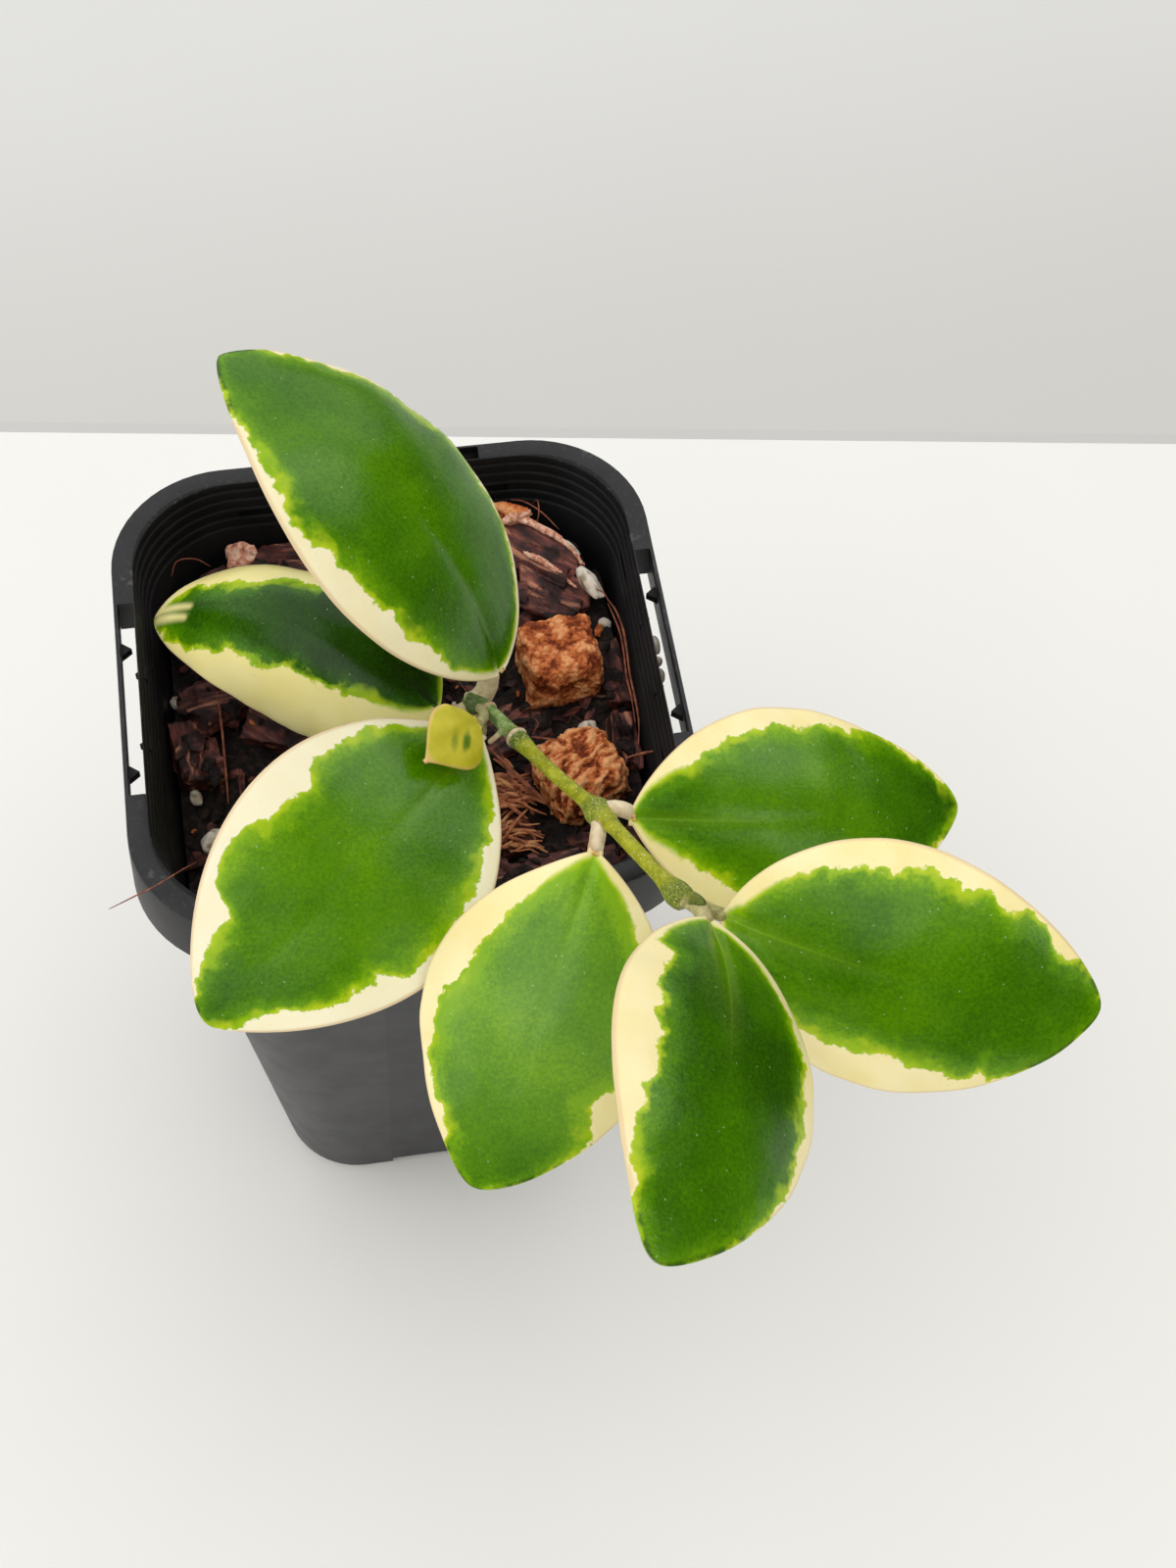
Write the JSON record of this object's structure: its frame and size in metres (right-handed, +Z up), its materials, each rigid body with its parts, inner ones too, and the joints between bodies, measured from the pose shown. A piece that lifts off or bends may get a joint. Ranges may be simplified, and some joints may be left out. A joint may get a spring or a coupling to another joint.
{
  "type": "potted variegated hoya cutting",
  "caption": "Young climbing hoya with thick cream-edged leaves on a leaning stem, rooted in coarse bark mix in a tall square nursery pot.",
  "frame": {"origin": "centre of the pot's underside, on the surface the pot stands on", "axes": "+Z up, -Y is the front, the side the stem leans over, +X to the right seen from the front"},
  "size_m": [0.1264, 0.1555, 0.1743],
  "materials": {
    "pot_plastic": "satin black injection-moulded polypropylene",
    "mix_fines": "damp dark bark fines",
    "coco_chip": "rough dry coconut husk chip",
    "coir": "loose coconut fibre",
    "bark": "dark red-brown damp bark",
    "pumice": "pale porous pumice",
    "stem": "green speckled soft stem",
    "leaf": "thick waxy green leaf with cream margins",
    "young_leaf": "soft yellow-green young leaf"
  },
  "bodies": {
    "root": {"pot": "pot_plastic", "stem": "stem", "leaf_1": "leaf", "leaf_2": "leaf", "leaf_3": "leaf", "leaf_5": "leaf", "leaf_6": "leaf", "leaf_7": "leaf", "leaf_8": "leaf", "young_leaf": "young_leaf", "coco_chip_1": "coco_chip", "coco_chip_2": "coco_chip", "coir_tuft": "coir", "pumice_back": "pumice", "pumice_side": "pumice", "pumice_right": "pumice", "pumice_middle": "pumice", "pumice_left": "pumice", "pumice_corner": "pumice", "pumice_far_left": "pumice", "pumice_top_left": "pumice", "bark_back": "bark", "bark_mid_back": "bark", "bark_right": "bark", "bark_right_front": "bark", "bark_centre": "bark", "bark_front": "bark", "bark_left_plate": "bark", "bark_left_block": "bark", "bark_inner_left": "bark", "bark_top_left": "bark", "bark_back_left": "bark", "bark_back_middle": "bark", "bark_inner_back": "bark", "coco_chip_3": "coco_chip", "bark_front_left": "bark", "coco_chip_4": "coco_chip", "bark_front_middle": "bark", "pumice_slot_1": "pumice", "pumice_slot_2": "pumice", "pumice_slot_3": "pumice", "potting_mix": "mix_fines"}
  },
  "joints": []
}
